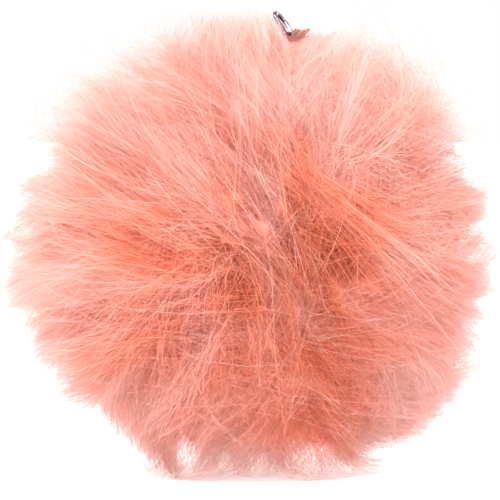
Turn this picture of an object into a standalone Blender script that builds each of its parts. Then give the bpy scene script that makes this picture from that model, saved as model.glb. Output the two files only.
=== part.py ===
"""A fur pom pom: a ball of dyed fur locks, the gathered tab at its top and a jump ring.

X runs to the viewer's right, Y away from the viewer and Z up. The ball rests on the plane
Z = 0, on the level ends of the shorter locks under it.

The ball's core is the hull of roots scattered evenly over a sphere. Every face of that hull
but one is drawn out into a three-sided lock, which one smooth flow bends to its side, so that
neighbouring locks share their roots and stand apart above them. The last face stays bare and
carries the tab, whose hole the ring passes through.
"""

import math
import random
from collections import namedtuple

import bmesh
import bpy
from mathutils import Matrix, Vector

MM = 0.001

# The ball
BALL_CENTRE = Vector((0.0, 0.0, 45.4 * MM))
CORE_RADIUS = 30.0 * MM
ROOT_COUNT = 152
ROOT_JITTER = 0.020
ROOT_SEED = 5
DEPTH_REACH = 46.8 * MM
REACH_SPREAD = 0.9 * MM

# How far the fur reaches from the ball's centre, seen from the front. Angles run
# anticlockwise from the viewer's right, in degrees, and reaches are in millimetres.
Reach = namedtuple("Reach", "angle reach")
OUTLINE = (
    Reach(0.0, 48.6),
    Reach(28.0, 47.8),
    Reach(48.0, 49.4),
    Reach(62.0, 48.4),
    Reach(75.0, 46.0),
    Reach(90.0, 48.0),
    Reach(105.0, 44.2),
    Reach(135.0, 47.0),
    Reach(150.0, 44.8),
    Reach(165.0, 47.4),
    Reach(195.0, 48.6),
    Reach(225.0, 46.0),
    Reach(240.0, 45.2),
    Reach(255.0, 47.2),
    Reach(270.0, 45.6),
    Reach(285.0, 47.6),
    Reach(310.0, 50.2),
    Reach(335.0, 50.0),
)

# A lock's rings: place along it, width as a share of its root's spread, and twist in degrees
Ring = namedtuple("Ring", "along width twist")
LOCK_RINGS = (
    Ring(0.22, 0.88, 0.0),
    Ring(0.58, 0.70, 4.0),
    Ring(0.85, 0.42, 16.0),
)
LEVEL_TIP = Ring(1.0, 0.34, 30.0)

# The flow that bends the locks, as shares of the unit direction at their tips
PARTING = Vector((0.17, -0.98, 0.0)).normalized()
SWEEP = 0.10
SWIRL = 0.06
DROOP = 0.07
WAVE = 0.09
WAVE_PITCH = 4.2
WAVE_TERMS = 7
WAVE_SEED = 5
BEND_POWER = 1.6
STRAIGHT_ANGLE = math.radians(8.0)
FLOWING_ANGLE = math.radians(30.0)

# Locks that would end within this height of the resting plane end level on it
FLOOR_BAND = 1.3 * MM

# The gathered tab, measured from the ball's centre
TAB_DIRECTION = Vector((8.95, 0.4, 42.9)).normalized()
TAB_REACH = 44.3 * MM
TAB_ROOT_WIDTH = 2.6 * MM
TAB_TOP_WIDTH = 5.6 * MM
TAB_THICKNESS = 1.3 * MM
TAB_PLEATS = 3.0
TAB_PLEAT_DEPTH = 0.28 * MM
TAB_COLUMNS = 24
TAB_ROWS = 8
TAB_TOP_DIP = 0.35 * MM
PIECE_GAP = 0.3 * MM

# The jump ring, measured from the ball's centre
RING_CENTRE = Vector((6.6, 0.5, 45.2)) * MM
RING_LONG_AXIS = Vector((0.6, 0.0, -0.8))
RING_LEAN = math.radians(13.0)
RING_RADIUS = 2.6 * MM
RING_WIRE_RADIUS = 0.45 * MM
RING_HOLE_RADIUS = 0.95 * MM
RING_HOLE_DEPTH = 6.0 * MM
RING_ROOM = 9.5 * MM
RING_ROOM_REACH = 41.5 * MM

FUR_COLOUR = (0.80, 0.30, 0.20, 1.0)
HIDE_COLOUR = (0.50, 0.14, 0.09, 1.0)
METAL_COLOUR = (0.62, 0.60, 0.60, 1.0)


def clear_scene():
    """Remove what the file already holds."""
    for item in list(bpy.data.objects):
        bpy.data.objects.remove(item, do_unlink=True)


def make_collection(name):
    """A new collection of this name in the scene."""
    collection = bpy.data.collections.new(name)
    bpy.context.scene.collection.children.link(collection)
    return collection


def make_material(name, colour, roughness, metallic=0.0):
    """A Principled material of one colour."""
    material = bpy.data.materials.new(name)
    material.use_nodes = True
    shader = material.node_tree.nodes["Principled BSDF"]
    shader.inputs["Base Color"].default_value = colour
    shader.inputs["Roughness"].default_value = roughness
    shader.inputs["Metallic"].default_value = metallic
    material.diffuse_color = colour
    return material


def object_from_bmesh(name, bm, collection, material=None):
    """Store a bmesh as a named object."""
    mesh = bpy.data.meshes.new(name)
    bm.to_mesh(mesh)
    bm.free()
    item = bpy.data.objects.new(name, mesh)
    collection.objects.link(item)
    if material:
        mesh.materials.append(material)
    return item


def smoothstep(low, high, value):
    """A soft ramp from 0 at low to 1 at high."""
    share = min(max((value - low) / (high - low), 0.0), 1.0)
    return share * share * (3.0 - 2.0 * share)


def scattered_directions():
    """Unit vectors on a spiral round a sphere, each pushed a little off its place."""
    rng = random.Random(ROOT_SEED)
    golden_angle = math.pi * (3.0 - math.sqrt(5.0))
    directions = []
    for index in range(ROOT_COUNT):
        height = 1.0 - (2.0 * index + 1.0) / ROOT_COUNT
        width = math.sqrt(1.0 - height * height)
        turn = golden_angle * index
        place = Vector((width * math.cos(turn), width * math.sin(turn), height))
        push = Vector([rng.gauss(0.0, ROOT_JITTER) for _ in range(3)])
        directions.append((place + push).normalized())
    return directions


def shortest_side(face):
    """The length of a face's shortest side."""
    return min(edge.calc_length() for edge in face.edges)


def core_hull():
    """The core, turned so that its roomiest face is square to the tab, and that face."""
    bm = bmesh.new()
    for direction in scattered_directions():
        bm.verts.new(direction * CORE_RADIUS)
    bmesh.ops.convex_hull(bm, input=bm.verts)
    bm.normal_update()
    tab_face = max(bm.faces, key=shortest_side)
    turn = tab_face.normal.rotation_difference(TAB_DIRECTION)
    bmesh.ops.rotate(bm, verts=bm.verts, matrix=turn.to_matrix())
    bm.normal_update()
    return bm, tab_face


def outline_reach(direction):
    """The fur's reach where a direction points, blended from the outline to the depth."""
    angle = math.degrees(math.atan2(direction.z, direction.x)) % 360.0
    rows = OUTLINE + (Reach(360.0, OUTLINE[0].reach),)
    low, high = next(pair for pair in zip(rows, rows[1:]) if angle <= pair[1].angle)
    share = smoothstep(low.angle, high.angle, angle)
    edge = (low.reach + (high.reach - low.reach) * share) * MM
    edge_share = math.hypot(direction.x, direction.z) ** 4
    return DEPTH_REACH + (edge - DEPTH_REACH) * edge_share


def along_surface(vector, direction):
    """The part of a vector that runs along the sphere at a direction."""
    return vector - direction * vector.dot(direction)


def wave_terms():
    """The waves whose sum makes the flow uneven: each one's run, phase and push."""
    rng = random.Random(WAVE_SEED)
    terms = []
    for _ in range(WAVE_TERMS):
        run = Vector([rng.gauss(0.0, 1.0) for _ in range(3)]).normalized() * WAVE_PITCH
        push = Vector([rng.gauss(0.0, 1.0) for _ in range(3)]).normalized() * WAVE
        terms.append((run, rng.uniform(0.0, 2.0 * math.pi), push))
    return terms


WAVES = wave_terms()


def flow(direction):
    """How the fur's flow carries a lock's tip sideways, as a share of the unit direction."""
    facing = max(direction.dot(PARTING), 0.0)
    sweep = along_surface(-PARTING, direction) * facing * SWEEP * 2.0
    swirl = PARTING.cross(direction) * facing * SWIRL
    droop = along_surface(Vector((0.0, 0.0, -1.0)), direction) * DROOP
    pushes = [push * math.sin(run.dot(direction) + phase) for run, phase, push in WAVES]
    wave = along_surface(sum(pushes, Vector()), direction)
    straight = smoothstep(STRAIGHT_ANGLE, FLOWING_ANGLE, direction.angle(TAB_DIRECTION))
    return (sweep + swirl + droop + wave) * straight


def own_reach(direction, rng):
    """A lock's own reach: the outline's, a little uneven, and short beside the ring."""
    reach = outline_reach(direction) + rng.uniform(-REACH_SPREAD, REACH_SPREAD)
    away = (direction * RING_CENTRE.length - RING_CENTRE).length
    room = smoothstep(0.6 * RING_ROOM, RING_ROOM, away)
    return RING_ROOM_REACH + (reach - RING_ROOM_REACH) * room


def flowed(direction, radius):
    """Where the flow carries a direction at this distance from the ball's centre."""
    height = max(radius - CORE_RADIUS, 0.0) / (DEPTH_REACH - CORE_RADIUS)
    return (direction + flow(direction) * height ** BEND_POWER).normalized()


def draw_ring(bm, face, ring, directions, middle, radius):
    """Draw a face out into the next ring of its lock and return the new face."""
    new_face = bmesh.ops.extrude_discrete_faces(bm, faces=[face])["faces"][0]
    twist = Matrix.Rotation(math.radians(ring.twist), 3, middle)
    for corner, direction in zip(new_face.verts, directions):
        aside = twist @ (direction - middle) * ring.width
        corner.co = flowed((middle + aside).normalized(), radius) * radius
    return new_face


def grow_lock(bm, face, rng):
    """Turn one face of the core into a lock and return its level tip, if it meets the floor."""
    directions = [vertex.co.normalized() for vertex in face.verts]
    middle = sum(directions, Vector()).normalized()
    heading = flowed(middle, DEPTH_REACH)
    reach = own_reach(heading, rng)
    meets_floor = BALL_CENTRE.z + heading.z * reach < FLOOR_BAND
    if meets_floor:
        reach = -BALL_CENTRE.z / heading.z
    for ring in LOCK_RINGS:
        radius = CORE_RADIUS + (reach - CORE_RADIUS) * ring.along
        face = draw_ring(bm, face, ring, directions, middle, radius)
    if meets_floor:
        face = draw_ring(bm, face, LEVEL_TIP, directions, middle, reach)
        for corner in face.verts:
            corner.co.z = -BALL_CENTRE.z
        return face
    tip = bmesh.ops.poke(bm, faces=[face])["verts"][0]
    tip.co = flowed(middle, reach) * reach
    return None


def centre_level_tips(tips):
    """Slide the level tips together until the middle one is on the ball's upright axis."""
    middles = [sum((corner.co for corner in tip.verts), Vector()) / 3.0 for tip in tips]
    middle = min(middles, key=lambda place: place.xy.length)
    for tip in tips:
        for corner in tip.verts:
            corner.co -= Vector((middle.x, middle.y, 0.0))


def fur_ball(collection, material):
    """The pelt's ball: a core whose faces are drawn out into locks."""
    bm, tab_face = core_hull()
    rng = random.Random(ROOT_SEED)
    faces = [face for face in bm.faces if face is not tab_face]
    faces.sort(key=lambda face: face.calc_center_median().to_tuple(7))
    tips = [grow_lock(bm, face, rng) for face in faces]
    centre_level_tips([tip for tip in tips if tip])
    bmesh.ops.triangulate(bm, faces=bm.faces)
    bmesh.ops.translate(bm, verts=bm.verts, vec=BALL_CENTRE)
    return object_from_bmesh("fur_ball", bm, collection, material)


def tab_seat():
    """The distance from the ball's centre at which the tab starts, just off its face."""
    bm, tab_face = core_hull()
    seat = tab_face.normal.dot(tab_face.verts[0].co) + PIECE_GAP
    bm.free()
    return seat


def ring_placement():
    """The ring's placement: its long axis as local X, and its lean about that axis."""
    long_axis = RING_LONG_AXIS.normalized()
    across = Matrix.Rotation(RING_LEAN, 3, long_axis) @ Vector((0.0, 1.0, 0.0))
    placement = Matrix((long_axis, across, long_axis.cross(across))).transposed().to_4x4()
    placement.translation = BALL_CENTRE + RING_CENTRE
    return placement


def ring_hole(cutters):
    """The cutter for the tab's hole, along the ring's wire at its lower end."""
    placement = ring_placement()
    bm = bmesh.new()
    bmesh.ops.create_cone(
        bm,
        cap_ends=True,
        segments=24,
        radius1=RING_HOLE_RADIUS,
        radius2=RING_HOLE_RADIUS,
        depth=RING_HOLE_DEPTH,
        matrix=Matrix.Rotation(math.radians(90.0), 4, "X"),
    )
    cutter = object_from_bmesh("ring_hole", bm, cutters)
    cutter.matrix_world = placement @ Matrix.Translation((RING_RADIUS, 0.0, 0.0))
    cutter.hide_render = True
    cutter.display_type = "WIRE"
    return cutter


def gathered_tab(collection, cutters, material):
    """The pelt's gathered edge: a pleated fan that stands in the bare face's gap."""
    length = TAB_REACH - tab_seat()
    bm = bmesh.new()
    bmesh.ops.create_grid(bm, x_segments=TAB_COLUMNS, y_segments=TAB_ROWS, size=1.0)
    bmesh.ops.solidify(bm, geom=bm.faces[:], thickness=TAB_THICKNESS)
    for vertex in bm.verts:
        across, up, depth = vertex.co.x, 0.5 * (vertex.co.y + 1.0), vertex.co.z
        width = TAB_ROOT_WIDTH + (TAB_TOP_WIDTH - TAB_ROOT_WIDTH) * up * up
        pleat = TAB_PLEAT_DEPTH * up * math.cos(math.pi * TAB_PLEATS * across)
        dip = TAB_TOP_DIP * (1.0 - across * across) * up ** 4
        vertex.co = Vector((0.5 * width * across, depth + pleat, up * length - dip))
    bmesh.ops.recalc_face_normals(bm, faces=bm.faces)
    middle = sum((vertex.co.y for vertex in bm.verts)) / len(bm.verts)
    bmesh.ops.translate(bm, verts=bm.verts, vec=(0.0, -middle, 0.0))
    tab = object_from_bmesh("gathered_tab", bm, collection, material)
    side = Vector((0.0, 1.0, 0.0)).cross(TAB_DIRECTION).normalized()
    placement = Matrix((side, TAB_DIRECTION.cross(side), TAB_DIRECTION)).transposed().to_4x4()
    placement.translation = BALL_CENTRE + TAB_DIRECTION * tab_seat()
    tab.matrix_world = placement
    cut = tab.modifiers.new("ring_hole", "BOOLEAN")
    cut.object = ring_hole(cutters)
    return tab


def jump_ring(collection, material):
    """The round wire ring that hangs in the tab's hole."""
    bpy.ops.mesh.primitive_torus_add(
        major_radius=RING_RADIUS,
        minor_radius=RING_WIRE_RADIUS,
        major_segments=36,
        minor_segments=12,
    )
    ring = bpy.context.object
    ring.name = "jump_ring"
    ring.data.name = "jump_ring"
    ring.data.materials.append(material)
    ring.data.shade_smooth()
    ring.matrix_world = ring_placement()
    for owner in list(ring.users_collection):
        owner.objects.unlink(ring)
    collection.objects.link(ring)
    return ring


def build():
    """Model the pom pom."""
    clear_scene()
    parts = make_collection("pom_pom")
    cutters = make_collection("cutters")
    fur_ball(parts, make_material("fur", FUR_COLOUR, 0.9))
    gathered_tab(parts, cutters, make_material("hide", HIDE_COLOUR, 0.8))
    jump_ring(parts, make_material("metal", METAL_COLOUR, 0.25, 1.0))
    bpy.context.view_layer.update()


build()
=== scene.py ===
"""The fur pom pom's looks: its hair, the hide tab, the wire ring, the floor, light and camera.

Lengths are in metres, directions are unit vectors from the ball's centre, and the frame is the
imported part's: X to the viewer's right, Y away from the viewer, Z up from the floor.
"""

import math
import random

import bmesh
import bpy
import numpy as np
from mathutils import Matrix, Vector
from mathutils.kdtree import KDTree


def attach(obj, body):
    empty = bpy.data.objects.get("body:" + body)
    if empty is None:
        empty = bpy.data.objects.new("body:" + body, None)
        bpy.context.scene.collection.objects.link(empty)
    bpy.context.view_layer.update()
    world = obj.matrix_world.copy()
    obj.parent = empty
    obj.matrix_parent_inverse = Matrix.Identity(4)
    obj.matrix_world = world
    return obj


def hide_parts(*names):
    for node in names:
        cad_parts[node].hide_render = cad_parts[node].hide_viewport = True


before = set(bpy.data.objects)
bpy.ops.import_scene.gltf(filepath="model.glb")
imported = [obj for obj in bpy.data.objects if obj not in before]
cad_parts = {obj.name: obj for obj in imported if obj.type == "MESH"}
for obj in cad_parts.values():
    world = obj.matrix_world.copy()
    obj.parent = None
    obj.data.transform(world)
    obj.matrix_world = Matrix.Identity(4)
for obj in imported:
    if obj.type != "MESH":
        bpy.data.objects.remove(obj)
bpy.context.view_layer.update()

MM = 0.001

# The ball, as the part's source has it
BALL_CENTRE = np.array([0.0, 0.0, 45.4]) * MM
CORE_RADIUS = 30.0 * MM
ROOT_COUNT = 152
ROOT_JITTER = 0.020
ROOT_SEED = 5
DEPTH_REACH = 46.8 * MM

# The fur's reach seen from the front: degrees anticlockwise from the right, and millimetres
OUTLINE = (
    {"angle": 0.0, "reach": 53.2},
    {"angle": 15.0, "reach": 51.0},
    {"angle": 28.0, "reach": 49.0},
    {"angle": 45.0, "reach": 53.0},
    {"angle": 60.0, "reach": 53.2},
    {"angle": 73.0, "reach": 48.8},
    {"angle": 82.0, "reach": 50.0},
    {"angle": 86.0, "reach": 57.0},
    {"angle": 93.0, "reach": 56.0},
    {"angle": 100.0, "reach": 46.8},
    {"angle": 106.0, "reach": 43.2},
    {"angle": 120.0, "reach": 49.4},
    {"angle": 135.0, "reach": 48.6},
    {"angle": 150.0, "reach": 48.0},
    {"angle": 165.0, "reach": 50.4},
    {"angle": 180.0, "reach": 53.0},
    {"angle": 195.0, "reach": 55.6},
    {"angle": 210.0, "reach": 54.0},
    {"angle": 225.0, "reach": 47.6},
    {"angle": 240.0, "reach": 47.2},
    {"angle": 249.0, "reach": 49.6},
    {"angle": 256.0, "reach": 48.4},
    {"angle": 263.0, "reach": 42.8},
    {"angle": 271.0, "reach": 45.0},
    {"angle": 285.0, "reach": 48.8},
    {"angle": 300.0, "reach": 51.4},
    {"angle": 315.0, "reach": 54.0},
    {"angle": 330.0, "reach": 54.8},
    {"angle": 345.0, "reach": 55.2},
)

# The flow that bends the hair, as the part's source has it
PARTING = np.array([0.17, -0.98, 0.0]) / math.hypot(0.17, 0.98)
SWEEP = 0.10
SWIRL = 0.06
DROOP = 0.07
WAVE = 0.05
WAVE_PITCH = 4.2
WAVE_TERMS = 7
WAVE_SEED = 5
COMB = 0.38
COMB_START = math.radians(3.0)
COMB_FULL = math.radians(48.0)
COMB_FADE = math.radians(75.0)
COMB_END = math.radians(125.0)
BEND_POWER = 1.6

# Pockets between tufts: where each lies across and up from the ball's middle in front, in
# millimetres, how wide it is, how far it pushes the hair's tips away and how much shorter the fur
# is in it. The last one does the opposite of both, to close a gap.
POCKET_RADIUS = 43.0 * MM
POCKET_LENGTH = 2.0
POCKETS = (
    {"across": 8.8, "up": 0.8, "width": 2.0, "push": 2.6, "dip": 9.0},
    {"across": 17.6, "up": -2.0, "width": 2.2, "push": 3.0, "dip": 10.0},
    {"across": 14.0, "up": -5.6, "width": 1.4, "push": 2.0, "dip": 7.0},
    {"across": 18.4, "up": 4.0, "width": 1.3, "push": 2.0, "dip": 6.0},
    {"across": 10.8, "up": 7.4, "width": 1.0, "push": 1.5, "dip": 5.0},
    {"across": -1.6, "up": -4.4, "width": 1.4, "push": 2.0, "dip": 6.5},
    {"across": -6.2, "up": 0.0, "width": 1.3, "push": 2.0, "dip": 6.0},
    {"across": -8.8, "up": 3.2, "width": 1.1, "push": 1.6, "dip": 5.0},
    {"across": 6.8, "up": -12.8, "width": 1.4, "push": 2.0, "dip": 6.0},
    {"across": 14.0, "up": -12.0, "width": 1.3, "push": 2.0, "dip": 6.0},
    {"across": -2.0, "up": -14.4, "width": 1.4, "push": 2.0, "dip": 6.0},
    {"across": -8.8, "up": -14.4, "width": 1.3, "push": 2.0, "dip": 6.0},
    {"across": -18.0, "up": -20.0, "width": 2.0, "push": 3.0, "dip": 7.0},
    {"across": 11.0, "up": -30.6, "width": 1.9, "push": 3.0, "dip": 8.5},
    {"across": -4.0, "up": -34.0, "width": 1.7, "push": 2.6, "dip": 7.0},
    {"across": -23.0, "up": -28.4, "width": 1.5, "push": 2.2, "dip": 5.0},
    {"across": -12.6, "up": -40.4, "width": 2.6, "push": -1.7, "dip": -1.4},
)

# Patches painted paler or deeper: their places and widths in front, in millimetres, and how much
# paler the fur is there. Some are uneven dye; some are painted light and shade, such as the pale
# bottom, which is in shade, and the deeper patches low right of the middle and at the top by the
# tab.
DYE_AND_PAINTED_LIGHT_PATCHES = (
    {"across": 6.0, "up": 33.0, "width": 8.0, "lift": 0.18},
    {"across": -20.0, "up": -33.0, "width": 6.0, "lift": 0.16},
    {"across": 27.0, "up": -28.0, "width": 6.5, "lift": 0.20},
    {"across": 31.0, "up": -9.0, "width": 6.0, "lift": 0.06},
    {"across": -9.0, "up": -6.0, "width": 4.0, "lift": 0.16},
    # Painted light: the shaded bottom is painted paler
    {"across": -0.6, "up": -41.6, "width": 6.0, "lift": 1.00},
    # Painted shade, low right of the middle
    {"across": 11.0, "up": -31.0, "width": 5.0, "lift": -0.26},
    {"across": 14.0, "up": 0.0, "width": 6.0, "lift": -0.06},
    {"across": -21.0, "up": -1.5, "width": 5.5, "lift": -0.26},
    {"across": -0.6, "up": 9.5, "width": 4.0, "lift": 0.22},
    {"across": -2.6, "up": 15.0, "width": 5.0, "lift": 0.30},
    {"across": 22.0, "up": 22.0, "width": 7.0, "lift": 0.20},
    {"across": -28.0, "up": 23.0, "width": 6.0, "lift": 0.15},
    {"across": 25.5, "up": 5.0, "width": 5.5, "lift": -0.26},
    {"across": -38.5, "up": 17.0, "width": 5.0, "lift": -0.20},
    # Painted shade at the top, behind the tab
    {"across": 0.0, "up": 42.6, "width": 7.5, "lift": -0.26},
)

# Paler and deeper streaks that fan out from the parting: partly uneven dye, partly painted light
# and shade of the clumped hair
STREAK_TERMS = 40
STREAK_SEED = 8
STREAK_PERIODS = (5.0 * MM, 16.0 * MM)
STREAK_FAN = 26.0 * MM
STREAK_MIDDLE = 0.2
STREAK_LENGTH = 2.6
STREAK_PALENESS = 0.066
MIDDLE_STREAKS = 0.7

# The tangled middle of the front, where tufts lean most unevenly
TANGLE_FULL = math.radians(16.0)
TANGLE_END = math.radians(40.0)
STRAIGHT_ANGLE = math.radians(3.0)
FLOWING_ANGLE = math.radians(13.0)

# The tab and the ring, measured from the ball's centre
TAB_DIRECTION = np.array([8.95, 0.4, 42.9]) / math.hypot(8.95, 0.4, 42.9)
TAB_SPLIT = 1.4 * MM
TAB_SPLIT_WIDTH = 3.8 * MM
TAB_SPLIT_START = 35.0 * MM
TAB_SPLIT_FULL = 40.0 * MM
# The clear view of the ring and the tab's end: no fur is seen above this line, which is given
# by millimetres across and up from the ball's middle, as the camera sees them
CLEAR_LINE = (
    (-34.0, 60.0), (-22.0, 50.0), (-12.0, 48.4), (-1.6, 48.0), (4.7, 47.8), (6.0, 44.8),
    (7.2, 43.2), (7.5, 41.2), (10.0, 41.2), (10.8, 42.8), (11.7, 44.2), (13.0, 44.2),
    (15.0, 43.8), (17.0, 44.6), (20.0, 46.0), (24.0, 49.0), (30.0, 60.0),
)
CLEAR_STEPS = 6
CLEAR_NOISE = 0.35 * MM

# The camera
CAMERA_RISE = math.radians(1.5)
CAMERA_DISTANCE = 0.9
CAMERA_FRAME = 100.0 * MM
CAMERA_SENSOR = 36.0
CAMERA_SIGHT = 100.0

# The tab's front fold: its edges from the ball's middle, in millimetres, from its foot to its top
FOLD_HEIGHTS = (0.0, 0.50, 0.78, 0.86, 1.0)
FOLD_LEFT = (7.0, 7.2, 7.4, 8.2, 9.1)
FOLD_RIGHT = (10.0, 10.1, 10.9, 11.2, 11.7)
FOLD_LOW = 38.0
FOLD_HIGH = 44.3
FOLD_DEPTH = -0.62
FOLD_FLARE = 0.9
FOLD_CREASE = 0.08
FOLD_CREASES = 2.1
FOLD_DIP = 0.35
FOLD_DIP_POWER = 6
FOLD_THICKNESS = 0.45
FOLD_ROWS = 26
FOLD_COLUMNS = 28
# A finer second wave in its creases: its height and number as shares of the first's
FINE_CREASE = 0.6
FINE_CREASES = 2.3

# Tufts within locks, and wisps within tufts
LAYOUT_SEED = 3
LAYOUT_JITTER = 0.45
HAIR_JITTER = 0.5
TUFT_COUNT = 760
WISP_COUNT = 11000
ROOT_RADIUS = 29.2 * MM
TIP_RADIUS = 50.0 * MM
FLOOR_CLEARANCE = 0.15 * MM
LEAN_POWER = 1.5
TUFT_RADIUS = 1.6 * MM
TUFT_LENGTH = 6.4 * MM
TANGLED_SHORTER = 0.6
TUFT_CHOICES = 14
CELL_EDGE = 1.5
WISP_EDGE = 1.6
ONWARD_KEPT = 0.85
# Painted light and shade on each tuft: paler along its middle and onward end, deeper at its sides,
# as if in the shadow of the tuft in front
PAINTED_TUFT_SHADING = 0.20
FLAME_MIDDLE = 0.30
FLAME_ONWARD = 0.6
FLAME_ASIDE = 0.8
# Painted shade too: each kind's pale lift is smaller in the tangled middle
TANGLED_LIFT = 0.5
REACH_LIMIT = 1.12
REACH_CLIP = (-2.0, 1.6)
FLOOR_DRAPE = 1.5 * MM
FLOOR_FACING = 0.5
NO_LIMIT = 1.0
# Painted light: the fur is paler towards the top, where the light falls from above
PAINTED_TOP_LIGHT = 0.15
# Painted shade: the fur is deeper in the tangled middle of the front, where one looks down into it
PAINTED_MIDDLE_SHADE = 0.10
# Painted light: the fur is paler towards the ball's sides, as if lit through from behind
PAINTED_EDGE_LIGHT = 0.18
EDGE_START = math.radians(40.0)
EDGE_FULL = math.radians(80.0)
NORMAL_SPREAD = 2.2
GATHER_POWER = 1.1
TUFT_POINT = 0.060
WISP_POINT = 0.015
WISP_RADIUS = 0.8 * MM
ROOT_STEPS = 30
ROOT_STEP = 0.45
CURL_CYCLES = (0.7, 1.6)
TUFT_TINT = 0.65
WISP_TINT = 0.35
RIBBON_TAPER = 0.55
RIBBON_UNEVEN = (0.6, 1.4)

# How far each lock gathers its tufts, each tuft its wisps and each wisp its hairs: least and most
LOCK_PULL = (0.20, 0.70)
TUFT_PULL = (0.78, 1.0)
WISP_PULL = (0.40, 0.80)
# How unevenly they reach, as shares of the fur's reach, and how far they lean and bow
LOCK_REACH = 0.015
TUFT_REACH = 0.032
WISP_REACH = 0.012
LOCK_LEAN = 0.05
TUFT_LEAN = 0.13
TUFT_BOW = 0.11
WISP_LEAN = 0.028
EVEN_LEAN = 0.90
TANGLED_LEAN = 0.60
TANGLED_WISPS = 4.0

# The packed down under the loose hair, as a share of the fur's reach
PACKED_REACH = 0.81
PACKED_RELIEF = 1.5 * MM
PACKED_UNEVEN = 0.25
PACKED_DIP = 0.9
PACKED_CLEARANCE = 3.0 * MM
PACKED_MIDDLE_RISE = 0.04
MIDDLE_RELIEF = 1.2
MIDDLE_SHORTER = 0.05
PACKED_AT = 0.75
PACKED_LIFT = 0.06
PACKED_FLOOR = 1.0 * MM
PACKED_SUBDIVISIONS = 6

# The kinds of hair; stations are the heights of each hair's points, from 0 at the root to 1
DOWN = {
    "name": "down",
    "count": 134000,
    "pieces": 4,
    "stations": (0.38, 0.62, 0.82, 1.0),
    "width": 0.060 * MM,
    "reach": 1.000,
    "reach_spread": 0.042,
    "stray": 0.022,
    "tangled": 1.5,
    "curl": 0.010,
    "tint_spread": 0.25,
    "lift": -0.01,
    "tip_share": 0.45,
    "seed": 11,
}
GUARD = {
    "name": "guard_hair",
    "count": 22000,
    "pieces": 2,
    "stations": (0.34, 0.50, 0.64, 0.77, 0.89, 1.0),
    "width": 0.066 * MM,
    "reach": 1.040,
    "reach_spread": 0.050,
    "stray": 0.10,
    "tangled": 3.0,
    "curl": 0.028,
    "tint_spread": 0.4,
    "lift": 0.09,
    "tip_share": 0.60,
    "seed": 12,
}
WISPS = {
    "name": "loose_wisps",
    "count": 1500,
    "pieces": 1,
    "stations": (0.34, 0.50, 0.64, 0.77, 0.89, 1.0),
    "width": 0.060 * MM,
    "reach": 1.09,
    "reach_spread": 0.035,
    "stray": 0.16,
    "tangled": 1.0,
    "curl": 0.03,
    "tint_spread": 0.4,
    "lift": 0.09,
    "tip_share": 0.60,
    "seed": 13,
}

# The light and the floor
AMBIENT = 1.0
FLOOR_HALF = 30.0
FLOOR_WHITE = 0.92
FLOOR_ROUGHNESS = 0.9
# The floor's own glow: painted light that fills the ball's shadow on it
FLOOR_GLOW = 0.6
LIGHTS = (
    {"name": "key", "from": (-0.35, -0.28, 1.00), "strength": 6.3, "spread": 38.0},
    {"name": "fill", "from": (0.10, -1.00, 0.26), "strength": 3.45, "spread": 55.0},
    {"name": "left_rim", "from": (-1.00, 0.45, 0.35), "strength": 1.1, "spread": 50.0},
    {"name": "right", "from": (0.80, -0.60, 0.05), "strength": 1.8, "spread": 60.0},
    {"name": "right_rim", "from": (1.00, 0.45, 0.35), "strength": 0.9, "spread": 50.0},
)


def smoothstep(low, high, values):
    """A soft ramp from 0 at low to 1 at high."""
    share = np.clip((values - low) / (high - low), 0.0, 1.0)
    return share * share * (3.0 - 2.0 * share)


def unit(vectors):
    """Each row of an array as a unit vector."""
    return vectors / np.linalg.norm(vectors, axis=-1, keepdims=True)


def along_surface(vectors, directions):
    """The part of each vector that runs along the sphere at its direction."""
    return vectors - directions * np.sum(vectors * directions, axis=-1, keepdims=True)


# ---------------------------------------------------------------- layout of the fur


def lock_middles():
    """The directions in which the part's locks leave its core, worked out as there."""
    rng = random.Random(ROOT_SEED)
    golden_angle = math.pi * (3.0 - math.sqrt(5.0))
    bm = bmesh.new()
    for index in range(ROOT_COUNT):
        height = 1.0 - (2.0 * index + 1.0) / ROOT_COUNT
        width = math.sqrt(1.0 - height * height)
        turn = golden_angle * index
        place = Vector((width * math.cos(turn), width * math.sin(turn), height))
        push = Vector([rng.gauss(0.0, ROOT_JITTER) for _ in range(3)])
        bm.verts.new((place + push).normalized() * CORE_RADIUS)
    bmesh.ops.convex_hull(bm, input=bm.verts)
    bm.normal_update()
    roomiest = max(bm.faces, key=lambda face: min(edge.calc_length() for edge in face.edges))
    turn = roomiest.normal.rotation_difference(Vector(TAB_DIRECTION)).to_matrix()
    middles = [turn @ face.calc_center_median().normalized() for face in bm.faces]
    bm.free()
    return np.array(sorted(tuple(middle) for middle in middles))


def scattered(count, rng, jitter):
    """Directions spread evenly over the sphere, each pushed off its place by a share of the gap."""
    index = np.arange(count)
    height = 1.0 - (2.0 * index + 1.0) / count
    width = np.sqrt(1.0 - height * height)
    turn = math.pi * (3.0 - math.sqrt(5.0)) * index
    places = np.stack([width * np.cos(turn), width * np.sin(turn), height], axis=1)
    gap = math.sqrt(4.0 * math.pi / count)
    return unit(places + rng.normal(0.0, jitter * gap, (count, 3)))


def tree_of(centres):
    """A search tree of these centres."""
    tree = KDTree(len(centres))
    for index, centre in enumerate(centres):
        tree.insert(centre, index)
    tree.balance()
    return tree


def nearest(points, centres):
    """For each point, the index of its nearest centre."""
    tree = tree_of(centres)
    return np.array([tree.find(point)[1] for point in points])


def wave_terms():
    """The waves whose sum makes the flow uneven: each one's run, phase and push."""
    rng = random.Random(WAVE_SEED)
    terms = []
    for _ in range(WAVE_TERMS):
        run = Vector([rng.gauss(0.0, 1.0) for _ in range(3)]).normalized() * WAVE_PITCH
        push = Vector([rng.gauss(0.0, 1.0) for _ in range(3)]).normalized() * WAVE
        terms.append((np.array(run), rng.uniform(0.0, 2.0 * math.pi), np.array(push)))
    return terms


WAVES = wave_terms()


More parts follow.
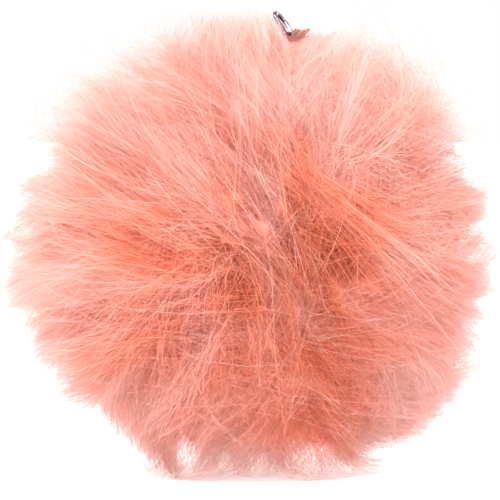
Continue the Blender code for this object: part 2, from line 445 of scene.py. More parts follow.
def flow(directions):
    """How the fur's flow carries hair sideways at its tip, as a share of the unit direction."""
    facing = np.maximum(directions @ PARTING, 0.0)[:, None]
    sweep = along_surface(-PARTING, directions) * facing * SWEEP * 2.0
    swirl = np.cross(PARTING, directions) * facing * SWIRL
    droop = along_surface(np.array([0.0, 0.0, -1.0]), directions) * DROOP
    pushes = sum(
        np.sin(directions @ run + phase)[:, None] * push for run, phase, push in WAVES
    )
    wave = along_surface(pushes, directions)
    away = along_surface(-PARTING, directions)
    away /= np.maximum(np.linalg.norm(away, axis=1, keepdims=True), 1e-6)
    turned = np.arccos(np.clip(directions @ PARTING, -1.0, 1.0))
    combed = smoothstep(COMB_START, COMB_FULL, turned)
    combed = combed * (1.0 - smoothstep(COMB_FADE, COMB_END, turned))
    sweep = sweep + away * (COMB * combed)[:, None]
    from_tab = np.arccos(np.clip(directions @ TAB_DIRECTION, -1.0, 1.0))
    straight = smoothstep(STRAIGHT_ANGLE, FLOWING_ANGLE, from_tab)[:, None]
    return (sweep + swirl + droop + wave) * straight


def front_place(across, up):
    """The direction of a place seen in front, so many millimetres across and up from the middle."""
    across, up = across * MM, up * MM
    depth = math.sqrt(POCKET_RADIUS**2 - across**2 - up**2)
    return np.array([across, -depth, up]) / POCKET_RADIUS


def from_pocket(pocket, directions):
    """How far directions are to the side of a pocket, and from its middle in its widths."""
    middle = front_place(pocket["across"], pocket["up"])
    outward = unit(along_surface(-PARTING, middle))
    side = np.cross(middle, outward)
    width = pocket["width"] * MM / POCKET_RADIUS
    away = directions - middle
    aside = away @ side / width
    onward = away @ outward / (width * POCKET_LENGTH)
    return side, aside, np.hypot(aside, onward)


def pocket_dip(directions):
    """How much shorter the fur is inside the pockets."""
    dip = np.zeros(len(directions))
    for pocket in POCKETS:
        share = from_pocket(pocket, directions)[2]
        dip += pocket["dip"] * MM * np.exp(-0.5 * share**2)
    return dip


def pocket_push(directions):
    """How the pockets push directions aside, to either side of their own length."""
    push = np.zeros_like(directions)
    for pocket in POCKETS:
        side, aside, share = from_pocket(pocket, directions)
        strength = pocket["push"] * MM / POCKET_RADIUS
        push += (aside * strength * np.exp(0.5 - 0.5 * share**2))[:, None] * side
    return along_surface(push, directions)


def flowed(directions, radii):
    """Where the flow carries directions at these distances from the ball's centre."""
    height = np.maximum(radii - CORE_RADIUS, 0.0) / (DEPTH_REACH - CORE_RADIUS)
    bend = (height**BEND_POWER)[:, None]
    carried = unit(directions + flow(directions) * bend)
    return unit(carried + pocket_push(carried) * bend)


def roots_of(places):
    """The directions of roots whose hair the flow carries to these places."""
    roots = places
    for _ in range(ROOT_STEPS):
        roots = unit(roots + ROOT_STEP * (places - unit(roots + flow(roots))))
    return roots


def tangle(directions):
    """How near directions are to the tangled middle of the front, from 0 to 1."""
    turned = np.arccos(np.clip(directions @ PARTING, -1.0, 1.0))
    return 1.0 - smoothstep(TANGLE_FULL, TANGLE_END, turned)


def edge(directions):
    """How far directions have left the front for the ball's sides, from 0 to 1."""
    turned = np.arccos(np.clip(directions @ PARTING, -1.0, 1.0))
    return smoothstep(EDGE_START, EDGE_FULL, turned)


def streak_terms():
    """The waves whose sum makes the streaks: each one's run and phase."""
    rng = random.Random(STREAK_SEED)
    terms = []
    for _ in range(STREAK_TERMS):
        low, high = (math.log(period) for period in STREAK_PERIODS)
        period = math.exp(rng.uniform(low, high))
        run = Vector([rng.gauss(0.0, 1.0) for _ in range(3)]).normalized() * 2.0 * math.pi / period
        terms.append((np.array(run), rng.uniform(0.0, 2.0 * math.pi)))
    return terms


STREAKS = streak_terms()


def streaks(directions):
    """How much paler or deeper the fur is in its streaks."""
    facing = directions @ PARTING
    across = directions - facing[:, None] * PARTING
    width = np.linalg.norm(across, axis=1, keepdims=True)
    turned = np.arccos(np.clip(facing, -1.0, 1.0))[:, None]
    fanned = across * ((1.0 + STREAK_MIDDLE) * STREAK_FAN) / (width + STREAK_MIDDLE)
    fanned = fanned + PARTING * turned * DEPTH_REACH / STREAK_LENGTH
    total = sum(np.sin(fanned @ run + phase) for run, phase in STREAKS)
    total *= math.sqrt(2.0 / STREAK_TERMS)
    return STREAK_PALENESS * (1.0 + MIDDLE_STREAKS * tangle(directions)) * total


def outline_reach(directions):
    """The fur's reach where directions point, blended from the outline to the depth."""
    angles = np.degrees(np.arctan2(directions[:, 2], directions[:, 0])) % 360.0
    rows = OUTLINE + ({"angle": 360.0, "reach": OUTLINE[0]["reach"]},)
    edge = np.interp(angles, [row["angle"] for row in rows], [row["reach"] for row in rows])
    edge_share = np.hypot(directions[:, 0], directions[:, 2]) ** 4
    return DEPTH_REACH + (edge * MM - DEPTH_REACH) * edge_share


def clear_line(across):
    """The height above which nothing but the ring and the tab is seen, from the ball's middle."""
    rows = np.array(CLEAR_LINE) * MM
    return np.interp(across, rows[:, 0], rows[:, 1])


def cut_at_clear_line(points, noise):
    """End each hair where it is first seen above the clear line; also tells the places kept."""
    steps = points.shape[1] - 1
    marks = np.linspace(0.0, steps, CLEAR_STEPS * steps + 1)
    samples = at_marks(points, np.tile(marks, (len(points), 1))) - BALL_CENTRE
    seen = samples[..., 2] + samples[..., 1] * math.sin(CAMERA_RISE)
    above = seen > clear_line(samples[..., 0]) + CLEAR_NOISE * noise[:, None]
    first = np.where(above.any(axis=1), above.argmax(axis=1) - 1, len(marks) - 1)
    kept = marks[np.maximum(first, 1)][:, None] * np.linspace(0.0, 1.0, steps + 1)
    return at_marks(points, kept), kept


def at_marks(points, marks):
    """The points of each hair at these places between its stations, counted from its root."""
    low = np.minimum(marks.astype(int), points.shape[1] - 2)
    share = (marks - low)[..., None]
    hair = np.arange(len(points))[:, None]
    return points[hair, low] * (1.0 - share) + points[hair, low + 1] * share


def floor_limit(directions):
    """How far hair can reach before it meets the floor."""
    down = np.maximum(-directions[:, 2], FLOOR_FACING)
    return np.where(directions[:, 2] < -FLOOR_FACING, BALL_CENTRE[2] / down, NO_LIMIT)


def outward_at(directions):
    """The way from the parting along the ball at each direction."""
    return unit(along_surface(-PARTING, directions))


def onward_part(vectors, directions):
    """The part of each vector that runs the way from the parting at its direction."""
    outward = outward_at(directions)
    return outward * np.sum(vectors * outward, axis=-1, keepdims=True)


def in_tuft_cell(places, middles):
    """How far places lie onward from their tufts' middles and aside, in the tufts' own sizes."""
    outward = outward_at(middles)
    side = np.cross(middles, outward)
    away = (places - middles) * DEPTH_REACH
    length = TUFT_LENGTH * (1.0 - TANGLED_SHORTER * tangle(middles))
    onward = np.sum(away * outward, axis=-1) / length
    aside = np.sum(away * side, axis=-1) / TUFT_RADIUS
    return onward, aside


def tuft_owners(places, middles):
    """For each place the tuft that it belongs to, where tufts are longer than wide."""
    tree = tree_of(middles)
    near = [tree.find_n(place, TUFT_CHOICES) for place in places]
    choices = np.array([[found[1] for found in row] for row in near])
    onward, aside = in_tuft_cell(places[:, None], middles[choices])
    best = np.argmin(np.hypot(onward, aside), axis=1)
    return choices[np.arange(len(places)), best]


def tangents(directions, rng, size):
    """A random push along the sphere at each direction, of about this size."""
    return along_surface(rng.normal(0.0, size, directions.shape), directions)


def fur_layout():
    """Locks, tufts and wisps: their directions, owners and the ways in which each one leans."""
    rng = np.random.default_rng(LAYOUT_SEED)
    locks = lock_middles()
    tuft_places = scattered(TUFT_COUNT, rng, LAYOUT_JITTER)
    wisp_places = scattered(WISP_COUNT, rng, LAYOUT_JITTER)
    tufts = roots_of(tuft_places)
    wisps = roots_of(wisp_places)
    uneven = EVEN_LEAN + TANGLED_LEAN * tangle(tufts)[:, None]
    tuft_of_wisp = tuft_owners(wisp_places, tuft_places)
    lock_of_tuft = nearest(tufts, locks)
    return {
        "locks": locks,
        "tufts": tufts,
        "wisps": wisps,
        "tuft_places": tuft_places,
        "wisp_places": wisp_places,
        "tuft_of_wisp": tuft_of_wisp,
        "lock_of_tuft": lock_of_tuft,
        "lock_pull": rng.uniform(*LOCK_PULL, len(locks)),
        "tuft_pull": rng.uniform(*TUFT_PULL, len(tufts)),
        "wisp_pull": rng.uniform(*WISP_PULL, len(wisps)),
        "lock_reach": rng.normal(0.0, LOCK_REACH, len(locks)),
        "tuft_reach": rng.normal(0.0, TUFT_REACH, len(tufts)),
        "wisp_reach": rng.normal(0.0, WISP_REACH, len(wisps)),
        "lock_lean": tangents(locks, rng, LOCK_LEAN),
        "tuft_lean": tangents(tufts, rng, TUFT_LEAN) * uneven,
        "tuft_bow": tangents(tufts, rng, TUFT_BOW) * uneven,
        "wisp_lean": tangents(wisps, rng, WISP_LEAN)
        * (1.0 + TANGLED_WISPS * tangle(wisps)[:, None]),
        "tuft_tint": rng.uniform(0.0, 1.0, len(tufts)),
        "wisp_tint": rng.uniform(0.0, 1.0, len(wisps)),
    }


def split_at_tab(points):
    """Push hair that would pass through the tab to its front or its back."""
    side = unit(np.cross([0.0, 1.0, 0.0], TAB_DIRECTION))
    across = np.cross(TAB_DIRECTION, side)
    offset = points - BALL_CENTRE
    along = offset @ TAB_DIRECTION
    u = offset @ side
    v = offset @ across
    near = np.exp(-((u / TAB_SPLIT_WIDTH) ** 4))
    near = near * smoothstep(TAB_SPLIT_START, TAB_SPLIT_FULL, along)
    pushed = np.where(v < 0.0, -1.0, 1.0) * np.sqrt(v * v + (TAB_SPLIT * near) ** 2)
    return points + (pushed - v)[..., None] * across


def hair_paths(kind, layout):
    """Every hair of a kind: its points, their normals and heights along it, its tint, and its
    painted light and shade from its tuft together with its kind's lift.
    """
    rng = np.random.default_rng(kind["seed"])
    count, stations = kind["count"], kind["stations"]
    places = scattered(count, rng, HAIR_JITTER)
    roots = roots_of(places)
    wisp = nearest(places, layout["wisp_places"])
    tuft = layout["tuft_of_wisp"][wisp]
    lock = layout["lock_of_tuft"][tuft]
    in_lock = layout["locks"][lock]
    in_tuft = layout["tufts"][tuft] - in_lock
    in_wisp = layout["wisps"][wisp] - layout["tufts"][tuft]
    kept_onward = ONWARD_KEPT * onward_part(in_wisp, layout["tufts"][tuft])
    in_hair = roots - layout["wisps"][wisp]
    tuft_lean = layout["lock_lean"][lock] + layout["tuft_lean"][tuft]
    stray = kind["stray"] * (1.0 + kind["tangled"] * tangle(roots))[:, None]
    hair_lean = layout["wisp_lean"][wisp] + tangents(roots, rng, 1.0) * stray
    bow = layout["tuft_bow"][tuft]
    curl_a = tangents(roots, rng, kind["curl"])
    curl_b = tangents(roots, rng, kind["curl"])
    phase = rng.uniform(0.0, 2.0 * math.pi, count)
    cycles = rng.uniform(*CURL_CYCLES, count)

    def hair_course(along):
        """The tuft's and the hair's own direction at a height, before the flow bends them."""
        gather = along**GATHER_POWER
        axis = in_lock + in_tuft * (1.0 - gather * layout["lock_pull"][lock])[:, None]
        axis += tuft_lean * along**LEAN_POWER + bow * math.sin(math.pi * along)
        turn = (2.0 * math.pi * cycles * along + phase)[:, None]
        direction = (
            axis
            + in_wisp
            - (in_wisp - kept_onward) * (gather * layout["tuft_pull"][tuft])[:, None]
            + in_hair * (1.0 - along * layout["wisp_pull"][wisp])[:, None]
            + hair_lean * along**LEAN_POWER
            + (curl_a * np.sin(turn) + curl_b * np.cos(turn)) * along
        )
        return unit(axis), unit(direction)

    tips = flowed(hair_course(1.0)[1], np.full(count, DEPTH_REACH))
    share = kind["reach"] + kind["reach_spread"] * np.clip(rng.normal(size=count), *REACH_CLIP)
    share += layout["lock_reach"][lock] + layout["tuft_reach"][tuft] + layout["wisp_reach"][wisp]
    onward, aside = in_tuft_cell(places, layout["tuft_places"][tuft])
    from_wisp = np.linalg.norm(places - layout["wisp_places"][wisp], axis=1) * DEPTH_REACH
    off_middle = np.minimum(np.hypot(onward, aside), CELL_EDGE)
    share -= MIDDLE_SHORTER * tangle(tips) + TUFT_POINT * off_middle**2
    share -= WISP_POINT * np.minimum(from_wisp / WISP_RADIUS, WISP_EDGE) ** 2
    share = np.minimum(share, REACH_LIMIT)
    reach = np.minimum(outline_reach(tips) * share, floor_limit(tips) + FLOOR_DRAPE)
    reach -= pocket_dip(tips)

    points = np.empty((count, len(stations), 3))
    normals = np.empty_like(points)
    for number, along in enumerate(stations):
        axis, direction = hair_course(along)
        radii = ROOT_RADIUS + (reach - ROOT_RADIUS) * along
        heading = flowed(direction, radii)
        off_axis = (heading - flowed(axis, radii)) * radii[:, None]
        off_axis -= ONWARD_KEPT * onward_part(off_axis, heading)
        points[:, number] = BALL_CENTRE + heading * radii[:, None]
        normals[:, number] = unit(heading + off_axis * (NORMAL_SPREAD / TUFT_RADIUS))
    points, kept = cut_at_clear_line(split_at_tab(points), rng.normal(size=count))
    points[..., 2] = np.maximum(points[..., 2], FLOOR_CLEARANCE)
    alongs = np.interp(kept, np.arange(len(stations)), stations)
    tint = TUFT_TINT * layout["tuft_tint"][tuft] + WISP_TINT * layout["wisp_tint"][wisp]
    tint += kind["tint_spread"] * (rng.uniform(0.0, 1.0, count) - tint)
    # Painted light and shade on each tuft, then each kind's lift
    tuft_shading_and_lift = PAINTED_TUFT_SHADING * np.clip(
        FLAME_MIDDLE + FLAME_ONWARD * onward - FLAME_ASIDE * aside**2, -1.0, 1.0
    )
    tuft_shading_and_lift += kind["lift"] * (1.0 - TANGLED_LIFT * tangle(tips))
    return points, normals, alongs, tint, tuft_shading_and_lift


# ---------------------------------------------------------------- meshes


def paleness(points, height):
    """How pale the fur is painted: deeper low in the fur, partly the dye and partly painted shade
    of its depth; paler towards the top and the sides, painted light; deeper in the tangled middle,
    painted shade; and paler or deeper in patches and streaks.
    """
    place = unit(points - BALL_CENTRE)
    lift = PAINTED_TOP_LIGHT * place[..., 2] + PAINTED_EDGE_LIGHT * edge(place) - PAINTED_MIDDLE_SHADE * tangle(place)
    for patch in DYE_AND_PAINTED_LIGHT_PATCHES:
        middle = front_place(patch["across"], patch["up"])
        away = np.linalg.norm(place - middle, axis=-1) * POCKET_RADIUS / (patch["width"] * MM)
        lift += patch["lift"] * np.exp(-0.5 * away**2)
    return height * (1.0 + lift) + streaks(place.reshape(-1, 3)).reshape(height.shape)


def shade_map(mesh, tint, pale, loops):
    """Keep each vertex's tint and paleness on the mesh, for its material."""
    layer = mesh.uv_layers.new(name="OFBake")
    uv = np.clip(np.stack([tint, pale], axis=1), 0.001, 0.999)[loops]
    layer.uv.foreach_set("vector", uv.astype(np.float32).ravel())


def ribbon_mesh(kind, name, points, normals, along, tint, tuft_shading_and_lift, rng):
    """Hair as tapered ribbons: one strip of faces for each row of points, ending in a point."""
    count, places = points.shape[:2]
    steps = places - 1
    heading = unit(np.gradient(points, axis=1))
    roll = unit(rng.normal(size=(count, 1, 3)))
    side = unit(np.cross(heading, roll))
    middle = places // 2
    facing = np.sum(np.cross(side[:, middle], heading[:, middle]) * normals[:, middle], axis=1)
    side *= np.where(facing < 0.0, -1.0, 1.0)[:, None, None]
    taper = kind["width"] * (1.0 - RIBBON_TAPER * along**2)
    taper = taper * rng.uniform(*RIBBON_UNEVEN, (count, 1))
    half = 0.5 * taper[..., None] * side
    left = points[:, :-1] - half[:, :-1]
    right = points[:, :-1] + half[:, :-1]
    rungs = np.stack([left, right], axis=2).reshape(count, 2 * steps, 3)
    vertices = np.concatenate([rungs, points[:, -1:]], axis=1)
    rung_normals = np.repeat(normals[:, :-1], 2, axis=1)
    vertex_normals = np.concatenate([rung_normals, normals[:, -1:]], axis=1)
    per_hair = 2 * steps + 1

    quads = [(2 * k, 2 * k + 1, 2 * k + 3, 2 * k + 2) for k in range(steps - 1)]
    last = 2 * steps - 2
    corners = np.array([corner for quad in quads for corner in quad] + [last, last + 1, last + 2])
    starts = np.arange(count)[:, None] * per_hair
    loops = (starts + corners[None, :]).ravel()
    totals = np.tile(np.array([4] * (steps - 1) + [3]), count)

    mesh = bpy.data.meshes.new(name)
    mesh.vertices.add(count * per_hair)
    mesh.vertices.foreach_set("co", vertices.astype(np.float32).ravel())
    mesh.loops.add(len(loops))
    mesh.loops.foreach_set("vertex_index", loops.astype(np.int32))
    mesh.polygons.add(count * steps)
    first = np.concatenate([[0], np.cumsum(totals)[:-1]])
    mesh.polygons.foreach_set("loop_start", first.astype(np.int32))
    mesh.update(calc_edges=True)
    mesh.polygons.foreach_set("use_smooth", np.ones(count * steps, dtype=bool))

    # Deeper in colour low in the fur: partly the dye, partly painted shade of its depth
    radius = np.linalg.norm(points - BALL_CENTRE, axis=2)
    height = (radius - ROOT_RADIUS) / (TIP_RADIUS - ROOT_RADIUS)
    pale = paleness(points, height + kind["tip_share"] * (along - height))
    # The painted tuft shading and the kind's lift, growing towards the tip
    pale += tuft_shading_and_lift[:, None] * along**2
    pale = np.concatenate([np.repeat(pale[:, :-1], 2, axis=1), pale[:, -1:]], axis=1)
    shade_map(mesh, np.repeat(tint, per_hair), pale.ravel(), loops)
    mesh.normals_split_custom_set_from_vertices(vertex_normals.reshape(-1, 3).astype(np.float32))
    return mesh


def link(name, mesh, material, node):
    """Add a mesh as a piece that stands for a node of the part."""
    piece = bpy.data.objects.new(name, mesh)
    bpy.context.scene.collection.objects.link(piece)
    mesh.materials.append(material)
    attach(piece, "root")
    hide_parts(node)
    return piece


def fur(layout, material):
    """Every kind of hair, each in a few pieces that divide the ball by side."""
    for kind in (DOWN, GUARD, WISPS):
        points, normals, along, tint, tuft_shading_and_lift = hair_paths(kind, layout)
        rng = np.random.default_rng(kind["seed"] + 100)
        middle = points[:, 0] - BALL_CENTRE
        sector = np.arctan2(middle[:, 1], middle[:, 0]) / (2.0 * math.pi) + 0.5
        order = np.argsort(sector, kind="stable")
        for number, chosen in enumerate(np.array_split(order, kind["pieces"]), start=1):
            name = f"{kind['name']}_{number}"
            looks = [values[chosen] for values in (points, normals, along, tint, tuft_shading_and_lift)]
            mesh = ribbon_mesh(kind, name, *looks, rng)
            link(name, mesh, material, "fur_ball")


def packed_down(layout, material):
    """The down packed round the core under the loose hair, in one soft hump for each tuft."""
    bm = bmesh.new()
    bmesh.ops.create_icosphere(bm, subdivisions=PACKED_SUBDIVISIONS, radius=1.0)
    mesh = bpy.data.meshes.new("packed_down")
    bm.to_mesh(mesh)
    bm.free()
    count = len(mesh.vertices)
    heading = np.empty(count * 3)
    mesh.vertices.foreach_get("co", heading)
    heading = unit(heading.reshape(count, 3))

    lock = layout["lock_of_tuft"]
    along = PACKED_AT
    axis = layout["tufts"] + (layout["lock_lean"][lock] + layout["tuft_lean"]) * along**LEAN_POWER
    axis -= (layout["tufts"] - layout["locks"][lock]) * (layout["lock_pull"][lock] * along)[:, None]
    middles = flowed(unit(axis), np.full(len(axis), PACKED_REACH * DEPTH_REACH))
    tuft = tuft_owners(heading, middles)
    onward, aside = in_tuft_cell(heading, middles[tuft])
    hump = PACKED_RELIEF * np.minimum(np.hypot(onward, aside), CELL_EDGE) ** 2
    hump *= 1.0 + MIDDLE_RELIEF * tangle(heading)
    share = PACKED_REACH + PACKED_UNEVEN * layout["tuft_reach"][tuft]
    share += PACKED_MIDDLE_RISE * tangle(heading)
    reach = np.minimum(outline_reach(heading) * share - hump, floor_limit(heading) - PACKED_FLOOR)
    top = clear_line(heading[:, 0] * reach) - PACKED_CLEARANCE
    radii = np.minimum(reach, top / np.maximum(heading[:, 2], 0.1))
    radii -= PACKED_DIP * pocket_dip(heading)
    vertices = BALL_CENTRE + heading * radii[:, None]
    mesh.vertices.foreach_set("co", vertices.ravel())
    mesh.shade_smooth()
    loops = np.empty(len(mesh.loops), dtype=np.int32)
    mesh.loops.foreach_get("vertex_index", loops)
    # Deeper in colour where it lies lower, partly the dye and partly painted shade between the
    # humps
    height = (radii - ROOT_RADIUS) / (TIP_RADIUS - ROOT_RADIUS)
    pale = paleness(vertices, height + PACKED_LIFT)
    shade_map(mesh, layout["tuft_tint"][tuft], pale, loops)
    link("packed_down", mesh, material, "fur_ball")


def tab_fold(material):
    """The fold of hide in front of the tab, whose corner stands up beside the ring."""
    bm = bmesh.new()
    grid = []
    for row in range(FOLD_ROWS + 1):
        up = row / FOLD_ROWS
        left = np.interp(up, FOLD_HEIGHTS, FOLD_LEFT)
        right = np.interp(up, FOLD_HEIGHTS, FOLD_RIGHT)
        low = np.interp(up, (0.0, 1.0), (FOLD_LOW, FOLD_HIGH))
        line = []
        for column in range(FOLD_COLUMNS + 1):
            share = column / FOLD_COLUMNS
            across = left + (right - left) * share
            turn = 2.0 * math.pi * FOLD_CREASES * share
            fine = FINE_CREASE * math.cos(FINE_CREASES * turn + 1.0 + up)
            crease = FOLD_CREASE * (math.cos(turn) + fine)
            depth = FOLD_DEPTH - FOLD_FLARE * up * share**2 + crease * up
            dip = FOLD_DIP * math.sin(math.pi * share) * up**FOLD_DIP_POWER
            place = Vector((across, depth, low - dip)) * MM
            line.append(bm.verts.new(place + Vector(BALL_CENTRE)))
        grid.append(line)
    for row in range(FOLD_ROWS):
        for column in range(FOLD_COLUMNS):
            corners = (grid[row][column], grid[row][column + 1])
            bm.faces.new(corners + (grid[row + 1][column + 1], grid[row + 1][column]))
    bmesh.ops.recalc_face_normals(bm, faces=bm.faces)
    bmesh.ops.solidify(bm, geom=bm.faces[:], thickness=FOLD_THICKNESS * MM)
    bmesh.ops.recalc_face_normals(bm, faces=bm.faces)
    mesh = bpy.data.meshes.new("tab_fold")
    bm.to_mesh(mesh)
    bm.free()
    mesh.shade_smooth()
    piece = bpy.data.objects.new("tab_fold", mesh)
    bpy.context.scene.collection.objects.link(piece)
    mesh.materials.append(material)
    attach(piece, "root")


def finish_frame_pieces(hide, metal):
    """Give the tab and the ring of the part their finish."""
    for node, material in (("gathered_tab", hide), ("jump_ring", metal)):
        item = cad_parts[node]
        for place in item.material_slots:
            place.material = material


# ---------------------------------------------------------------- materials


def new_material(name):
    """A material with its Principled shader and node tools."""
    material = bpy.data.materials.new(name)
    material.use_nodes = True
    nodes = material.node_tree.nodes
    return material, nodes, material.node_tree.links, nodes["Principled BSDF"]


def srgb(red, green, blue):
    """A colour given as it shows on screen, from 0 to 255, as the shader's linear values."""
    channels = []
    for value in (red / 255.0, green / 255.0, blue / 255.0):
        low = value / 12.92
        high = ((value + 0.055) / 1.055) ** 2.4
        channels.append(low if value <= 0.04045 else high)
    return (*channels, 1.0)


def set_ramp(ramp, stops):
    """Fill a colour ramp from (position, colour) rows."""
    elements = ramp.color_ramp.elements
    while len(elements) > 1:
        elements.remove(elements[-1])
    elements[0].position, elements[0].color = stops[0]
    for position, colour in stops[1:]:
        elements.new(position).color = colour


def multiply(nodes, links, colour):
    """A node that multiplies a colour by what its input B holds."""
    mix = nodes.new("ShaderNodeMix")
    mix.data_type = "RGBA"
    mix.blend_type = "MULTIPLY"
    mix.inputs["Factor"].default_value = 1.0
    links.new(colour, mix.inputs["A"])
    return mix


def fur_material():
    """Dyed fur: deep coral at the roots, partly painted shade of the fur's depth, pale at the tips,
    each hair a little its own tint.
    """
    material, nodes, links, shader = new_material("dyed_fur")
    place = nodes.new("ShaderNodeUVMap")
    place.uv_map = "OFBake"
    split = nodes.new("ShaderNodeSeparateXYZ")
    links.new(place.outputs["UV"], split.inputs["Vector"])
    ramp = nodes.new("ShaderNodeValToRGB")
    set_ramp(ramp, FUR_STOPS)
    links.new(split.outputs["Y"], ramp.inputs["Fac"])
    tint = nodes.new("ShaderNodeValToRGB")
    set_ramp(tint, TINT_STOPS)
    links.new(split.outputs["X"], tint.inputs["Fac"])
    mix = multiply(nodes, links, ramp.outputs["Color"])
    links.new(tint.outputs["Color"], mix.inputs["B"])
    links.new(mix.outputs["Result"], shader.inputs["Base Color"])
    shader.inputs["Roughness"].default_value = FUR_ROUGHNESS
    shader.inputs["Specular IOR Level"].default_value = FUR_SPECULAR
    through = nodes.new("ShaderNodeBsdfTranslucent")
    deeper = multiply(nodes, links, mix.outputs["Result"])
    deeper.inputs["B"].default_value = THROUGH_COLOUR
    links.new(deeper.outputs["Result"], through.inputs["Color"])
    blend = nodes.new("ShaderNodeMixShader")
    blend.inputs["Fac"].default_value = THROUGH_SHARE
    links.new(shader.outputs["BSDF"], blend.inputs[1])
    links.new(through.outputs["BSDF"], blend.inputs[2])
    links.new(blend.outputs["Shader"], nodes["Material Output"].inputs["Surface"])
    return material


FUR_ROUGHNESS = 0.55
FUR_SPECULAR = 0.08
THROUGH_SHARE = 0.5
# From the roots to the tips: deep low in the fur, partly the dye and partly painted shade of its
# depth
FUR_STOPS = (
    (0.0, srgb(150, 56, 30)),
    (0.30, srgb(214, 106, 70)),
    (0.50, srgb(238, 149, 119)),
    (0.64, srgb(243, 173, 150)),
    (0.76, srgb(245, 190, 175)),
    (0.88, srgb(247, 207, 200)),
    (1.0, srgb(247, 215, 211)),
)
THROUGH_COLOUR = (1.0, 0.84, 0.78, 1.0)
TINT_STOPS = (
    (0.0, (0.80, 0.64, 0.57, 1.0)),
    (0.5, (0.96, 0.90, 0.88, 1.0)),
    (1.0, (1.0, 1.0, 1.0, 1.0)),
)
HIDE_ROUGHNESS = 0.75
# The hide's colour, darker in the creases' hollows as painted shade
HIDE_AND_CREASE_SHADE_STOPS = (
    (0.36, srgb(116, 72, 64)),
    (0.50, srgb(146, 88, 78)),
    (0.64, srgb(168, 104, 92)),
)
TARNISH_STOPS = (
    (0.40, srgb(64, 58, 60)),
    (0.50, srgb(112, 104, 106)),
    (0.62, srgb(190, 180, 182)),
)
# How rough the wire is, as greys
SCUFF_STOPS = (
    (0.3, (0.20, 0.20, 0.20, 1.0)),
    (0.7, (0.42, 0.42, 0.42, 1.0)),
)


def noise_ramp(nodes, links, scale, detail, stretch, stops):
    """Noise drawn out along Z by a stretch, and the colour ramp that it drives."""
    place = nodes.new("ShaderNodeTexCoord")
    mapping = nodes.new("ShaderNodeMapping")
    mapping.inputs["Scale"].default_value = (1.0, 1.0, 1.0 / stretch)
    links.new(place.outputs["Object"], mapping.inputs["Vector"])
    noise = nodes.new("ShaderNodeTexNoise")
    noise.inputs["Scale"].default_value = scale
    noise.inputs["Detail"].default_value = detail
    links.new(mapping.outputs["Vector"], noise.inputs["Vector"])
    ramp = nodes.new("ShaderNodeValToRGB")
    set_ramp(ramp, stops)
    links.new(noise.outputs["Fac"], ramp.inputs["Fac"])
    return noise, ramp


def add_bump(nodes, links, shader, height, strength, distance):
    """Raise the surface by a height."""
    bump = nodes.new("ShaderNodeBump")
    bump.inputs["Strength"].default_value = strength
    bump.inputs["Distance"].default_value = distance
    links.new(height, bump.inputs["Height"])
    links.new(bump.outputs["Normal"], shader.inputs["Normal"])


def hide_material():
    """The dyed skin of the gathered tab: matte, with creases that run up to its end and painted
    shade, a darker colour, in their hollows.
    """
    material, nodes, links, shader = new_material("dyed_hide")
    creases, ramp = noise_ramp(
        nodes, links, scale=1500.0, detail=5.0, stretch=5.0, stops=HIDE_AND_CREASE_SHADE_STOPS
    )
    links.new(ramp.outputs["Color"], shader.inputs["Base Color"])
    add_bump(nodes, links, shader, creases.outputs["Fac"], strength=0.6, distance=0.25 * MM)
    shader.inputs["Roughness"].default_value = HIDE_ROUGHNESS
    return material


def metal_material():
    """Silver-tone wire with tarnish in patches and fine scuffs."""
    material, nodes, links, shader = new_material("silver_tone_wire")
    ramp = noise_ramp(nodes, links, scale=700.0, detail=3.0, stretch=1.0, stops=TARNISH_STOPS)[1]
    links.new(ramp.outputs["Color"], shader.inputs["Base Color"])
    scuffs, rough = noise_ramp(
        nodes, links, scale=3500.0, detail=4.0, stretch=1.0, stops=SCUFF_STOPS
    )
    links.new(rough.outputs["Color"], shader.inputs["Roughness"])
    add_bump(nodes, links, shader, scuffs.outputs["Fac"], strength=0.2, distance=0.02 * MM)
    shader.inputs["Metallic"].default_value = 1.0
    return material


# ---------------------------------------------------------------- floor, light and camera


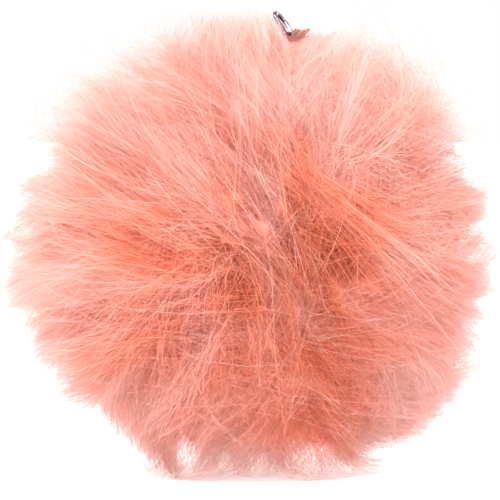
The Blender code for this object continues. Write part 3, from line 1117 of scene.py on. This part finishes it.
def floor():
    """A plain white floor that runs past the view on all sides, glowing a little: painted light
    that fills the ball's shadow on it and lights the ball from below.
    """
    bm = bmesh.new()
    bmesh.ops.create_grid(bm, x_segments=1, y_segments=1, size=FLOOR_HALF)
    mesh = bpy.data.meshes.new("floor")
    bm.to_mesh(mesh)
    bm.free()
    item = bpy.data.objects.new("floor", mesh)
    bpy.context.scene.collection.objects.link(item)
    material, nodes, links, shader = new_material("floor_white")
    shader.inputs["Base Color"].default_value = (FLOOR_WHITE, FLOOR_WHITE, FLOOR_WHITE, 1.0)
    shader.inputs["Roughness"].default_value = FLOOR_ROUGHNESS
    shader.inputs["Emission Color"].default_value = (1.0, 1.0, 1.0, 1.0)
    shader.inputs["Emission Strength"].default_value = FLOOR_GLOW
    mesh.materials.append(material)


def studio():
    """White surroundings, and soft light from the upper left of the camera."""
    world = bpy.data.worlds.new("studio")
    world.use_nodes = True
    background = world.node_tree.nodes["Background"]
    background.inputs["Color"].default_value = (1.0, 1.0, 1.0, 1.0)
    background.inputs["Strength"].default_value = AMBIENT
    bpy.context.scene.world = world
    for row in LIGHTS:
        light = bpy.data.lights.new(row["name"], "SUN")
        light.energy = row["strength"]
        light.angle = math.radians(row["spread"])
        item = bpy.data.objects.new(row["name"], light)
        bpy.context.scene.collection.objects.link(item)
        item.rotation_euler = (-Vector(row["from"])).to_track_quat("-Z", "Y").to_euler()
    bpy.context.scene.view_settings.view_transform = "Standard"


def camera():
    """The photo's view: level, square on to the front, from far enough to be nearly flat."""
    lens = bpy.data.cameras.new("camera")
    lens.sensor_width = CAMERA_SENSOR
    lens.lens = CAMERA_SENSOR * CAMERA_DISTANCE / CAMERA_FRAME
    lens.clip_end = CAMERA_SIGHT
    item = bpy.data.objects.new("camera", lens)
    bpy.context.scene.collection.objects.link(item)
    away = Vector((0.0, -math.cos(CAMERA_RISE), math.sin(CAMERA_RISE)))
    item.location = Vector(BALL_CENTRE) + away * CAMERA_DISTANCE
    item.rotation_euler = (-away).to_track_quat("-Z", "Y").to_euler()
    bpy.context.scene.camera = item


camera()
floor()
studio()
layout = fur_layout()
dyed_fur = fur_material()
packed_down(layout, dyed_fur)
fur(layout, dyed_fur)
hide = hide_material()
tab_fold(hide)
finish_frame_pieces(hide, metal_material())
